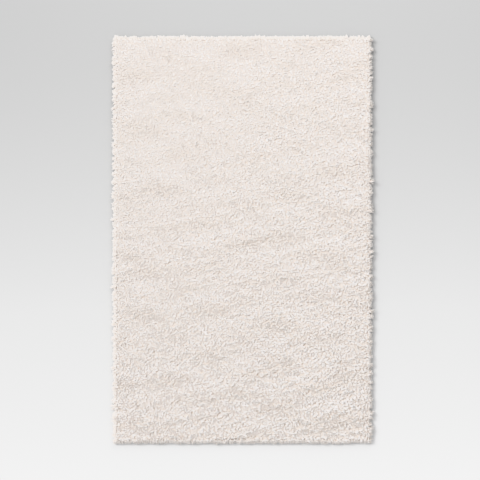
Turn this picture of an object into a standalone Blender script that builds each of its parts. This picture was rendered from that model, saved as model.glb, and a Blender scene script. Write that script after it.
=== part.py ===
"""Cut-pile shag area rug, lying flat.

The rug is a stack of cloths bound round its edge. From the floor up: a woven secondary
backing, a latex precoat, a woven primary backing that holds the tufts, and the pile.
Four strips of folded binding tape cover the raw edges, one to a side, mitred at the
corners and held by a lockstitch seam of two threads. A care label lies on the back.

Units are metres and +Z is up. X runs across the rug, Y along it towards its head end.
The origin is on the floor under the middle of the rug. Every outline is a rounded
rectangle named by its inset from the bound edge, so a negative inset lies outside it.
"""

import math

import bmesh
import bpy
from mathutils import Matrix, Vector

# Driving dimensions
BOUND_WIDTH = 1.520
BOUND_LENGTH = 2.400
CORNER_RADIUS = 0.012
PILE_HEIGHT = 0.030
PILE_OVERHANG = 0.014
SHOULDER_WIDTH = 0.020
SHOULDER_HEIGHT = 0.018
SECONDARY_THICKNESS = 0.0018
PRECOAT_THICKNESS = 0.0012
PRIMARY_THICKNESS = 0.0010
TAPE_THICKNESS = 0.0010
TAPE_BACK_WIDTH = 0.024
TAPE_FACE_WIDTH = 0.010
SEAM_INSET = 0.006
THREAD_DIAMETER = 0.0004
LABEL_WIDTH = 0.080
LABEL_LENGTH = 0.050
LABEL_THICKNESS = 0.0004
LABEL_FROM_EDGE = 0.090

# Clearances
GAP = 0.0003
THREAD_RECESS = 0.00005
LABEL_RECESS = 0.0002
SKIRT_ABOVE_FLOOR = 0.002

# How finely shapes are faceted and closed
WELD_DISTANCE = 0.00001
SHARP_RADIUS = 0.002
CORNER_STEPS = 8
SHOULDER_STEPS = 6
THREAD_SIDES = 8

# Heights of the layers, from the floor up
TAPE_REBATE = TAPE_THICKNESS + GAP
PRECOAT_Z = SECONDARY_THICKNESS + GAP
PRIMARY_Z = PRECOAT_Z + PRECOAT_THICKNESS + GAP
CLOTH_TOP_Z = PRIMARY_Z + PRIMARY_THICKNESS
PILE_Z = CLOTH_TOP_Z + GAP
TAPE_TOP_Z = PILE_Z + TAPE_THICKNESS
PILE_TOP_Z = PILE_Z + PILE_HEIGHT

# Insets from the bound edge
CLOTH_INSET = TAPE_THICKNESS + GAP
FIELD_INSET = TAPE_BACK_WIDTH + GAP
TUFTED_INSET = TAPE_FACE_WIDTH + GAP
GROOVE_WIDTH = THREAD_DIAMETER + 2 * GAP
GROOVE_DEPTH = THREAD_RECESS + THREAD_DIAMETER + GAP

# A side's name, its outward direction and its length over the binding
SIDES = (
    ("right", Vector((1, 0, 0)), BOUND_LENGTH),
    ("head", Vector((0, 1, 0)), BOUND_WIDTH),
    ("left", Vector((-1, 0, 0)), BOUND_LENGTH),
    ("foot", Vector((0, -1, 0)), BOUND_WIDTH),
)


def clear_scene():
    """Removes every object that the file opened with."""
    for thing in list(bpy.data.objects):
        bpy.data.objects.remove(thing, do_unlink=True)


def make_material(name, colour, roughness):
    """A plain non-metallic material, with its colour in linear RGB."""
    material = bpy.data.materials.new(name)
    material.use_nodes = True
    shader = material.node_tree.nodes["Principled BSDF"]
    shader.inputs["Base Color"].default_value = (*colour, 1.0)
    shader.inputs["Roughness"].default_value = roughness
    shader.inputs["Metallic"].default_value = 0.0
    return material


def add_object(name, bm, material, parent):
    """Turns a bmesh into a named object with one material, parented to the rug."""
    bmesh.ops.recalc_face_normals(bm, faces=bm.faces[:])
    mesh = bpy.data.meshes.new(name)
    bm.to_mesh(mesh)
    bm.free()
    made = bpy.data.objects.new(name, mesh)
    made.data.materials.append(material)
    made.parent = parent
    bpy.context.scene.collection.objects.link(made)
    return made


def corner_radius_at(inset):
    """The corner radius of the outline at an inset, which stays above a sharp corner's."""
    return max(CORNER_RADIUS - inset, SHARP_RADIUS)


def outline(inset):
    """Points of the rounded rectangle at an inset, anticlockwise seen from above."""
    radius = corner_radius_at(inset)
    across = BOUND_WIDTH / 2 - inset - radius
    along = BOUND_LENGTH / 2 - inset - radius
    points = []
    for quarter, (right, head) in enumerate(((1, 1), (-1, 1), (-1, -1), (1, -1))):
        centre = Vector((right * across, head * along, 0))
        for step in range(CORNER_STEPS + 1):
            angle = math.pi / 2 * (quarter + step / CORNER_STEPS)
            points.append(centre + radius * Vector((math.cos(angle), math.sin(angle), 0)))
    return points


def add_ring(bm, inset, z):
    """Adds one closed outline to a bmesh at a height, and returns its vertices in order."""
    ring = [bm.verts.new(point + Vector((0, 0, z))) for point in outline(inset)]
    for pair in zip(ring, ring[1:] + ring[:1]):
        bm.edges.new(pair)
    return ring


def ring_edges(bm, ring):
    """The edges between the neighbours of a ring of vertices."""
    return [bm.edges.get(pair) for pair in zip(ring, ring[1:] + ring[:1])]


def extrude_ring(bm, ring, inset, z):
    """Extrudes a ring, moves the copy to the outline at an inset and height, and returns it."""
    made = bmesh.ops.extrude_edge_only(bm, edges=ring_edges(bm, ring))["geom"]
    fresh = {part for part in made if isinstance(part, bmesh.types.BMVert)}
    following = []
    for vert, point in zip(ring, outline(inset)):
        ends = {edge.other_vert(vert) for edge in vert.link_edges}
        copy = (ends & fresh).pop()
        copy.co = point + Vector((0, 0, z))
        following.append(copy)
    return following


def sweep_round(profile, closed):
    """Sweeps a profile of (inset, height) points round the rug.

    A closed profile gives a frame, and an open one a plate with its two ends capped.
    """
    bm = bmesh.new()
    first = ring = add_ring(bm, *profile[0])
    for inset, z in profile[1:]:
        ring = extrude_ring(bm, ring, inset, z)
    if closed:
        extrude_ring(bm, ring, *profile[0])
        bmesh.ops.remove_doubles(bm, verts=bm.verts, dist=WELD_DISTANCE)
    else:
        bmesh.ops.contextual_create(bm, geom=ring_edges(bm, first))
        bmesh.ops.contextual_create(bm, geom=ring_edges(bm, ring))
    return bm


def plate_profile(inset, bottom, top):
    """The profile of a flat sheet of one thickness."""
    return [(inset, bottom), (inset, top)]


def secondary_backing_profile():
    """The bottom cloth, whose margin is pressed thinner so that the tape lies flush."""
    return [
        (FIELD_INSET, 0.0),
        (FIELD_INSET, TAPE_REBATE),
        (CLOTH_INSET, TAPE_REBATE),
        (CLOTH_INSET, SECONDARY_THICKNESS),
    ]


def pile_profile():
    """The body of the pile: it stands on the cloth, steps over the tape and hangs past it."""
    profile = [
        (TUFTED_INSET, PILE_Z),
        (TUFTED_INSET, TAPE_TOP_Z + GAP),
        (-GAP, TAPE_TOP_Z + GAP),
        (-GAP, SKIRT_ABOVE_FLOOR),
        (-PILE_OVERHANG, SKIRT_ABOVE_FLOOR),
    ]
    for step in range(SHOULDER_STEPS + 1):
        turn = math.pi / 2 * step / SHOULDER_STEPS
        profile.append(
            (
                -PILE_OVERHANG + SHOULDER_WIDTH * (1 - math.cos(turn)),
                PILE_TOP_Z - SHOULDER_HEIGHT * (1 - math.sin(turn)),
            )
        )
    return profile


def tape_profile():
    """The folded tape's section: a long leg on the back, a short one on the face, a seam groove in each."""
    near = SEAM_INSET - GROOVE_WIDTH / 2
    far = SEAM_INSET + GROOVE_WIDTH / 2
    back_groove = [(near, 0.0), (near, GROOVE_DEPTH), (far, GROOVE_DEPTH), (far, 0.0)]
    face_groove = [(inset, TAPE_TOP_Z - depth) for inset, depth in reversed(back_groove)]
    back_leg = [(TAPE_BACK_WIDTH, 0.0), (TAPE_BACK_WIDTH, TAPE_THICKNESS)]
    face_leg = [(TAPE_FACE_WIDTH, TAPE_TOP_Z - TAPE_THICKNESS), (TAPE_FACE_WIDTH, TAPE_TOP_Z)]
    fold = [(TAPE_THICKNESS, TAPE_THICKNESS), (TAPE_THICKNESS, TAPE_TOP_Z - TAPE_THICKNESS)]
    edge = [(0.0, TAPE_TOP_Z), (0.0, 0.0)]
    return back_groove + back_leg + fold + face_leg + face_groove + edge


def cut_mitres(bm, outward):
    """Cuts one side's strip out of the whole frame, at its two mitred corners."""
    along = Vector((-outward.y, outward.x, 0))
    half = Vector((BOUND_WIDTH / 2, BOUND_LENGTH / 2, 0))
    for end in (along, -along):
        corner = Vector(((outward + end).x * half.x, (outward + end).y * half.y, 0))
        keep = (outward - end).normalized()
        cut = bmesh.ops.bisect_plane(
            bm,
            geom=bm.verts[:] + bm.edges[:] + bm.faces[:],
            plane_co=corner + keep * GAP / 2,
            plane_no=keep,
            clear_inner=True,
        )
        edges = [part for part in cut["geom_cut"] if isinstance(part, bmesh.types.BMEdge)]
        bmesh.ops.holes_fill(bm, edges=edges, sides=len(edges))


def build_binding(tape, parent):
    """The four strips of folded tape, one to a side."""
    for side, outward, _ in SIDES:
        bm = sweep_round(tape_profile(), closed=True)
        cut_mitres(bm, outward)
        add_object(f"binding_tape_{side}", bm, tape, parent)


def build_seams(thread, parent):
    """The binding's lockstitch seam: on each side a bobbin thread at the back and a needle thread on the face."""
    back_z = THREAD_RECESS + THREAD_DIAMETER / 2
    heights = (("bobbin_thread", back_z), ("needle_thread", TAPE_TOP_Z - back_z))
    for side, outward, side_length in SIDES:
        straight = side_length - 2 * (SEAM_INSET + corner_radius_at(SEAM_INSET) + GAP)
        reach = outward.x * BOUND_WIDTH / 2 + outward.y * BOUND_LENGTH / 2
        place = outward * (abs(reach) - SEAM_INSET)
        for kind, z in heights:
            bm = bmesh.new()
            bmesh.ops.create_cone(
                bm,
                cap_ends=True,
                segments=THREAD_SIDES,
                radius1=THREAD_DIAMETER / 2,
                radius2=THREAD_DIAMETER / 2,
                depth=straight,
                matrix=Matrix.Rotation(math.pi / 2, 4, "Y"),
            )
            made = add_object(f"{kind}_{side}", bm, thread, parent)
            made.location = place + Vector((0, 0, z))
            made.rotation_euler.z = math.atan2(outward.y, outward.x) + math.pi / 2


def box_bmesh(width, length, height):
    """A box that stands on its own origin."""
    bm = bmesh.new()
    bmesh.ops.create_cube(bm, size=1.0)
    bmesh.ops.scale(bm, verts=bm.verts, vec=(width, length, height))
    bmesh.ops.translate(bm, verts=bm.verts, vec=(0, 0, height / 2))
    return bm


def build_label(cloth, parent, backing):
    """The care label near one corner, and the place that it presses into the back."""
    place = Vector(
        (
            BOUND_WIDTH / 2 - LABEL_FROM_EDGE - LABEL_WIDTH / 2,
            -BOUND_LENGTH / 2 + LABEL_FROM_EDGE + LABEL_LENGTH / 2,
            LABEL_RECESS,
        )
    )
    label = add_object(
        "care_label", box_bmesh(LABEL_WIDTH, LABEL_LENGTH, LABEL_THICKNESS), cloth, parent
    )
    label.location = place

    pocket_depth = LABEL_RECESS + LABEL_THICKNESS + GAP
    cutter = add_object(
        "label_pocket_cutter",
        box_bmesh(LABEL_WIDTH + 2 * GAP, LABEL_LENGTH + 2 * GAP, 2 * pocket_depth),
        cloth,
        parent,
    )
    cutter.location = Vector((place.x, place.y, -pocket_depth))
    cutter.hide_render = True
    cutter.display_type = "WIRE"
    pocket = backing.modifiers.new("label_pocket", "BOOLEAN")
    pocket.operation = "DIFFERENCE"
    pocket.object = cutter


def build_rug():
    """Builds every piece of the rug under one empty."""
    pile_yarn = make_material("pile_yarn", (0.80, 0.74, 0.70), 0.95)
    primary_cloth = make_material("primary_cloth", (0.62, 0.58, 0.52), 0.85)
    latex = make_material("latex", (0.72, 0.68, 0.58), 0.60)
    secondary_cloth = make_material("secondary_cloth", (0.55, 0.48, 0.38), 0.90)
    tape = make_material("binding_tape", (0.74, 0.68, 0.60), 0.85)
    thread = make_material("seam_thread", (0.80, 0.76, 0.68), 0.60)
    label_cloth = make_material("label_cloth", (0.86, 0.86, 0.84), 0.55)

    rug = bpy.data.objects.new("area_rug", None)
    bpy.context.scene.collection.objects.link(rug)

    backing = add_object(
        "secondary_backing",
        sweep_round(secondary_backing_profile(), closed=False),
        secondary_cloth,
        rug,
    )
    precoat = plate_profile(CLOTH_INSET, PRECOAT_Z, PRECOAT_Z + PRECOAT_THICKNESS)
    add_object("latex_precoat", sweep_round(precoat, closed=False), latex, rug)
    primary = plate_profile(CLOTH_INSET, PRIMARY_Z, CLOTH_TOP_Z)
    add_object("primary_backing", sweep_round(primary, closed=False), primary_cloth, rug)
    pile = add_object("pile", sweep_round(pile_profile(), closed=False), pile_yarn, rug)
    pile.data.shade_smooth()
    pile.data.set_sharp_from_angle(angle=math.radians(40))
    build_binding(tape, rug)
    build_seams(thread, rug)
    build_label(label_cloth, rug, backing)


clear_scene()
build_rug()
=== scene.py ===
"""The looks of a cut-pile shag area rug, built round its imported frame.

The pile is a bed of crowded yarn with loose ends on it. Each loose end is a closed, tapered
length of yarn that leans with the soft waves that run across the rug, away from the clefts
between them, and in towards the middle of the lock that it belongs to. A fringe of longer
tufts fans out over the binding and droops to the floor. Under the pile come the folded
binding tape with its lockstitch seam, the woven backings and a blank care label.

Units are metres. X runs across the rug, Y towards its head end, and Z up out of the pile.
"""

import sys
import logging
import math
from collections.abc import Callable, Iterator
from dataclasses import dataclass, field
from enum import Enum

import bmesh
import bpy
import numpy as np
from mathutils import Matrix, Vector


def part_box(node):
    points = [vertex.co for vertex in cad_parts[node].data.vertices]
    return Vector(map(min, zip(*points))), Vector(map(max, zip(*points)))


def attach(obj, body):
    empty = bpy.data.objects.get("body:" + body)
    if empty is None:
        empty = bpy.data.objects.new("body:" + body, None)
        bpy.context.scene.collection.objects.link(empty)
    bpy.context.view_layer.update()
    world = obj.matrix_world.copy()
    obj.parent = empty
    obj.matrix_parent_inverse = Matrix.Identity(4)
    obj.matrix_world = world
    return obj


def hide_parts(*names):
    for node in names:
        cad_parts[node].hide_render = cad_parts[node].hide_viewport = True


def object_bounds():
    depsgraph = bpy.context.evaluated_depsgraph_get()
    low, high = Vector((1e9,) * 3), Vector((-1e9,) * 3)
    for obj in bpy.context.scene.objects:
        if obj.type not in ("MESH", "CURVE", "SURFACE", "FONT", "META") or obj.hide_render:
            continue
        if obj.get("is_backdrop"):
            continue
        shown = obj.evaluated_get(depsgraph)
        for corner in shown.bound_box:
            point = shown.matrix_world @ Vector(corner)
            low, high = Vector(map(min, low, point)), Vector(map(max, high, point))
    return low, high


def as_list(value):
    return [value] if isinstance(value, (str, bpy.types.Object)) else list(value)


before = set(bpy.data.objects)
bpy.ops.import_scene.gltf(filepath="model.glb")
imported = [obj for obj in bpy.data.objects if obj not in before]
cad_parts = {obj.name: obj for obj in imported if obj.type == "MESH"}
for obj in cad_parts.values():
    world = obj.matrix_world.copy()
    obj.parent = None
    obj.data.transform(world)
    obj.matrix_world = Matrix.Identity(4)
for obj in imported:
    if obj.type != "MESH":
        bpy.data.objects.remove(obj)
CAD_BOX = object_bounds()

LOG = logging.getLogger("area_rug")
BODY = "root"
BAKE_MAP = "OFBake"
MM = 0.001
Colour = tuple[float, float, float]
Socket = bpy.types.NodeSocket


# ---------------------------------------------------------------------------
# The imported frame
# ---------------------------------------------------------------------------


class Side(Enum):
    """A side of the rug, with the direction that it faces."""

    RIGHT = (1, 0)
    HEAD = (0, 1)
    LEFT = (-1, 0)
    FOOT = (0, -1)

    @property
    def label(self) -> str:
        """The side's name in the names of its pieces."""
        return self.name.lower()

    @property
    def outward(self) -> np.ndarray:
        """The unit vector that points out of the rug on this side."""
        return np.array(self.value, float)

    @property
    def along(self) -> np.ndarray:
        """The unit vector that runs along this side, anticlockwise seen from above."""
        return np.array((-self.value[1], self.value[0]), float)


@dataclass(frozen=True)
class RoundedOutline:
    """A rectangle with rounded corners, centred on the origin.

    Attributes:
        half: Half its width and half its length.
        radius: The radius of its corners.
    """

    half: tuple[float, float]
    radius: float

    def inset(self, distance: float, least_radius: float = 2 * MM) -> "RoundedOutline":
        """The outline that lies a distance inside this one, or outside it if that is negative.

        Args:
            distance: How far inside.
            least_radius: The corner radius that it doesn't go below.

        Returns:
            The new outline.
        """
        half = (self.half[0] - distance, self.half[1] - distance)
        return RoundedOutline(half, max(self.radius - distance, least_radius))

    def depth(self, points: np.ndarray) -> np.ndarray:
        """How far inside the outline each point lies.

        Args:
            points: Places in the plane, one to a row.

        Returns:
            One distance a point, negative outside.
        """
        out = np.abs(points) - (np.array(self.half) - self.radius)
        corner = np.linalg.norm(np.maximum(out, 0), axis=1)
        return self.radius - corner - np.minimum(out.max(axis=1), 0)

    def outward(self, points: np.ndarray) -> np.ndarray:
        """The direction of the nearest edge from each point.

        Args:
            points: Places in the plane, one to a row.

        Returns:
            One unit vector a point.
        """
        out = np.abs(points) - (np.array(self.half) - self.radius)
        nearer = np.where(out[:, :1] > out[:, 1:], [[1.0, 0.0]], [[0.0, 1.0]])
        in_corner = (out > 0).all(axis=1)[:, None]
        way = np.where(in_corner, np.maximum(out, 0), nearer)
        way = way / np.linalg.norm(way, axis=1, keepdims=True)
        return way * np.where(points < 0, -1.0, 1.0)

    def walk(self, gap: float) -> tuple[np.ndarray, np.ndarray]:
        """Places spaced evenly round the outline, anticlockwise.

        Args:
            gap: About how far apart they lie.

        Returns:
            The places and their outward directions, one to a row.
        """
        across, along = (2 * (size - self.radius) for size in self.half)
        arc = math.pi / 2 * self.radius
        spans = [along, arc, across, arc, along, arc, across, arc]
        ends = np.cumsum(spans)
        count = round(ends[-1] / gap)
        where = np.arange(count) / count * ends[-1]
        span = np.searchsorted(ends, where, side="right")
        share = (where - (ends - spans)[span]) / np.array(spans)[span]
        quarter, on_arc = span // 2, span % 2 == 1
        angle = math.pi / 2 * (quarter + np.where(on_arc, share, 0))
        way = np.stack([np.cos(angle), np.sin(angle)], axis=1)
        corner = np.array([(1, -1), (1, 1), (-1, 1), (-1, -1)], float)
        inner = np.array(self.half) - self.radius
        start = corner[quarter] * inner
        end = corner[(quarter + 1) % 4] * inner
        middle = np.where(on_arc[:, None], end, start + (end - start) * share[:, None])
        return middle + way * self.radius, way


@dataclass(frozen=True)
class RugFrame:
    """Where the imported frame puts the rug's layers.

    Attributes:
        cloth_top: The height of the primary backing's face, which the tufts stand on.
        tape_top: The height of the binding tape's face.
        bound: The outline of the bound edge.
        pile: The outline of the pile where it hangs furthest past the binding.
        label: The lowest and highest corner of the care label.
    """

    cloth_top: float
    tape_top: float
    bound: RoundedOutline
    pile: RoundedOutline
    label: tuple[Vector, Vector]

    @classmethod
    def from_nodes(cls, bound_radius: float = 12 * MM) -> "RugFrame":
        """Reads the layers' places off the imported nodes.

        Args:
            bound_radius: The corner radius of the bound edge.

        Returns:
            The frame.
        """
        right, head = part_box("binding_tape_right")[1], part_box("binding_tape_head")[1]
        bound = RoundedOutline((right.x, head.y), bound_radius)
        pile_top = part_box("pile")[1]
        return cls(
            cloth_top=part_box("primary_backing")[1].z,
            tape_top=right.z,
            bound=bound,
            pile=bound.inset(right.x - pile_top.x),
            label=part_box("care_label"),
        )


# ---------------------------------------------------------------------------
# Making meshes
# ---------------------------------------------------------------------------


@dataclass(frozen=True)
class Template:
    """One small closed shape that is copied many times.

    Attributes:
        points: Its vertices, one to a row.
        faces: Its triangles, as three vertex numbers a row.
    """

    points: np.ndarray
    faces: np.ndarray

    @classmethod
    def from_bmesh(cls, bm: bmesh.types.BMesh) -> "Template":
        """Takes the shape out of a bmesh, which it frees.

        Args:
            bm: A closed shape.

        Returns:
            The template, in triangles that face out.
        """
        bmesh.ops.recalc_face_normals(bm, faces=bm.faces)
        bmesh.ops.triangulate(bm, faces=bm.faces)
        bm.verts.index_update()
        points = np.array([vert.co for vert in bm.verts])
        faces = np.array([[vert.index for vert in face.verts] for face in bm.faces])
        bm.free()
        return cls(points, faces)

    def repeat(self, name: str, points: np.ndarray) -> bpy.types.Object:
        """Makes one object of many copies of the shape.

        Args:
            name: The object's name.
            points: The copies' own vertices: copies, by vertices of the template, by three.

        Returns:
            The object, shaded smooth.
        """
        copies, corners = points.shape[:2]
        first = (np.arange(copies) * corners)[:, None, None]
        loops = (self.faces[None] + first).astype(np.int32).ravel()
        mesh = bpy.data.meshes.new(name)
        mesh.vertices.add(copies * corners)
        mesh.vertices.foreach_set("co", points.astype(np.float32).ravel())
        mesh.loops.add(len(loops))
        mesh.loops.foreach_set("vertex_index", loops)
        mesh.polygons.add(len(loops) // 3)
        mesh.polygons.foreach_set("loop_start", np.arange(0, len(loops), 3, dtype=np.int32))
        mesh.update(calc_edges=True)
        mesh.shade_smooth()
        made = bpy.data.objects.new(name, mesh)
        bpy.context.scene.collection.objects.link(made)
        return made


def object_from(bm: bmesh.types.BMesh, name: str, smooth_under: float = 40.0) -> bpy.types.Object:
    """Makes an object of a bmesh, which it frees, with its faces turned outwards.

    Args:
        bm: The shape, in its place.
        name: The object's name.
        smooth_under: Edges that bend less than this, in degrees, are shaded smooth.

    Returns:
        The object, at the origin.
    """
    bmesh.ops.recalc_face_normals(bm, faces=bm.faces)
    mesh = bpy.data.meshes.new(name)
    bm.to_mesh(mesh)
    bm.free()
    mesh.shade_smooth()
    mesh.set_sharp_from_angle(angle=math.radians(smooth_under))
    made = bpy.data.objects.new(name, mesh)
    bpy.context.scene.collection.objects.link(made)
    return made


def soften(made: bpy.types.Object, facing: np.ndarray, share: float) -> None:
    """Bends a mesh's normals, so that loose fibres shade like the surface that they make up.

    Args:
        made: The object.
        facing: That surface's direction at each vertex.
        share: How far the normals bend towards it.
    """
    mesh = made.data
    own = np.empty(len(mesh.vertices) * 3, np.float32)
    mesh.vertex_normals.foreach_get("vector", own)
    bent = own.reshape(-1, 3) * (1 - share) + facing.reshape(-1, 3) * share
    bent /= np.maximum(np.linalg.norm(bent, axis=1, keepdims=True), 1e-6)
    mesh.normals_split_custom_set_from_vertices(bent)


def give_numbers(made: bpy.types.Object, name: str, values: np.ndarray) -> None:
    """Gives an object's mesh an attribute of one number a vertex.

    Args:
        made: The object.
        name: The attribute's name.
        values: The numbers, in the order of the vertices.
    """
    attribute = made.data.attributes.new(name, "FLOAT", "POINT")
    attribute.data.foreach_set("value", values.astype(np.float32).ravel())


def give_map(made: bpy.types.Object, across: np.ndarray, up: np.ndarray) -> None:
    """Gives an object's mesh its surface map, from two numbers a vertex.

    Args:
        made: The object.
        across: Each vertex's place across the map.
        up: Each vertex's place up the map.
    """
    mesh = made.data
    corners = np.empty(len(mesh.loops), np.int32)
    mesh.loops.foreach_get("vertex_index", corners)
    layer = mesh.uv_layers.new(name=BAKE_MAP)
    places = np.stack([across.ravel()[corners], up.ravel()[corners]], axis=1)
    layer.uv.foreach_set("vector", places.astype(np.float32).ravel())


def plane_of(made: bpy.types.Object) -> np.ndarray:
    """Where an object's vertices lie, seen from above.

    Args:
        made: The object.

    Returns:
        One place a vertex.
    """
    places = np.empty(len(made.data.vertices) * 3, np.float32)
    made.data.vertices.foreach_get("co", places)
    return places.reshape(-1, 3)[:, :2].astype(float)


def join_rug(made: bpy.types.Object, slot: str, material: bpy.types.Material, *nodes: str) -> None:
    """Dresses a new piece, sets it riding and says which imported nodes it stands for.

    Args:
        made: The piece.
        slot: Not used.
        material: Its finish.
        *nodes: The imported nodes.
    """
    made.data.materials.append(material)
    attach(made, BODY)
    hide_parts(*nodes)
    LOG.info("%s: %d faces, for %s", made.name, len(made.data.polygons), ", ".join(nodes))


# ---------------------------------------------------------------------------
# Making materials
# ---------------------------------------------------------------------------


@dataclass
class NodeBench:
    """Places and joins the nodes of one tree.

    Attributes:
        tree: The tree that it works on.
    """

    tree: bpy.types.NodeTree

    def add(self, kind: str, **settings: object) -> bpy.types.Node:
        """Adds a node and sets its properties.

        Args:
            kind: The node's type, without ShaderNode.
            **settings: Its properties.

        Returns:
            The node.
        """
        node = self.tree.nodes.new("ShaderNode" + kind)
        for name, value in settings.items():
            setattr(node, name, value)
        return node

    def feed(self, target: Socket, value: object) -> None:
        """Links a socket to another, or sets it to a value.

        Args:
            target: The input.
            value: An output socket, a number, or a colour.
        """
        if isinstance(value, bpy.types.NodeSocket):
            self.tree.links.new(value, target)
        elif target.type == "RGBA" and len(value) == 3:
            target.default_value = (*value, 1.0)
        else:
            target.default_value = value

    def math(self, operation: str, *values: object) -> Socket:
        """A Math node's result.

        Args:
            operation: The operation's name.
            *values: Its inputs, as sockets or numbers.

        Returns:
            The output.
        """
        node = self.add("Math", operation=operation)
        for target, value in zip(node.inputs, values):
            self.feed(target, value)
        return node.outputs[0]

    def span(self, value: Socket, low: float, high: float, to_low: float, to_high: float) -> Socket:
        """A number carried smoothly from one range into another, and held at its ends.

        Args:
            value: The number.
            low: The start of its range.
            high: The end of its range.
            to_low: What the start becomes.
            to_high: What the end becomes.

        Returns:
            The output.
        """
        node = self.add("MapRange", interpolation_type="SMOOTHSTEP")
        for target, given in zip(node.inputs, (value, low, high, to_low, to_high)):
            self.feed(target, given)
        return node.outputs[0]

    def blend(self, factor: object, first: object, second: object, way: str = "MIX") -> Socket:
        """Two colours mixed.

        Args:
            factor: How much of the second.
            first: The first colour.
            second: The second colour.
            way: The blend mode.

        Returns:
            The output.
        """
        node = self.add("Mix", data_type="RGBA", blend_type=way)
        for target, value in zip((node.inputs[0], node.inputs[6], node.inputs[7]), (factor, first, second)):
            self.feed(target, value)
        return node.outputs[2]

    def noise(self, vector: Socket, scale: float, detail: float = 2.0, rough: float = 0.5) -> Socket:
        """A soft noise, from 0 to 1.

        Args:
            vector: Where to read it.
            scale: How many lumps a metre.
            detail: How many finer layers it has.
            rough: How strong those are.

        Returns:
            The output.
        """
        node = self.add("TexNoise")
        for name, value in (("Vector", vector), ("Scale", scale), ("Detail", detail), ("Roughness", rough)):
            self.feed(node.inputs[name], value)
        return node.outputs[0]

    def attribute(self, name: str) -> Socket:
        """The number that a mesh attribute holds."""
        return self.add("Attribute", attribute_name=name).outputs["Fac"]

    def place(self) -> Socket:
        """The place on the piece, in metres."""
        return self.add("TexCoord").outputs["Object"]


@dataclass(frozen=True)
class Port:
    """An input or output of a node group.

    Attributes:
        name: Its name.
        kind: Its type, without NodeSocket.
        value: An input's value where nothing else is given.
    """

    name: str
    kind: str
    value: object = None


def make_group(name: str, inputs: list[Port], outputs: list[Port], wire: Callable) -> bpy.types.NodeTree:
    """Builds a shader node group.

    Args:
        name: The group's name.
        inputs: Its inputs.
        outputs: Its outputs.
        wire: Wires it: takes the bench and the inputs by name, and returns the outputs by name.

    Returns:
        The group.
    """
    tree = bpy.data.node_groups.new(name, "ShaderNodeTree")
    for ports, way in ((inputs, "INPUT"), (outputs, "OUTPUT")):
        for port in ports:
            made = tree.interface.new_socket(port.name, in_out=way, socket_type="NodeSocket" + port.kind)
            if port.value is not None:
                made.default_value = (*port.value, 1.0) if port.kind == "Color" else port.value
    bench = NodeBench(tree)
    start, end = tree.nodes.new("NodeGroupInput"), tree.nodes.new("NodeGroupOutput")
    found = wire(bench, {port.name: start.outputs[port.name] for port in inputs})
    for port in outputs:
        bench.feed(end.inputs[port.name], found[port.name])
    return tree


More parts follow.
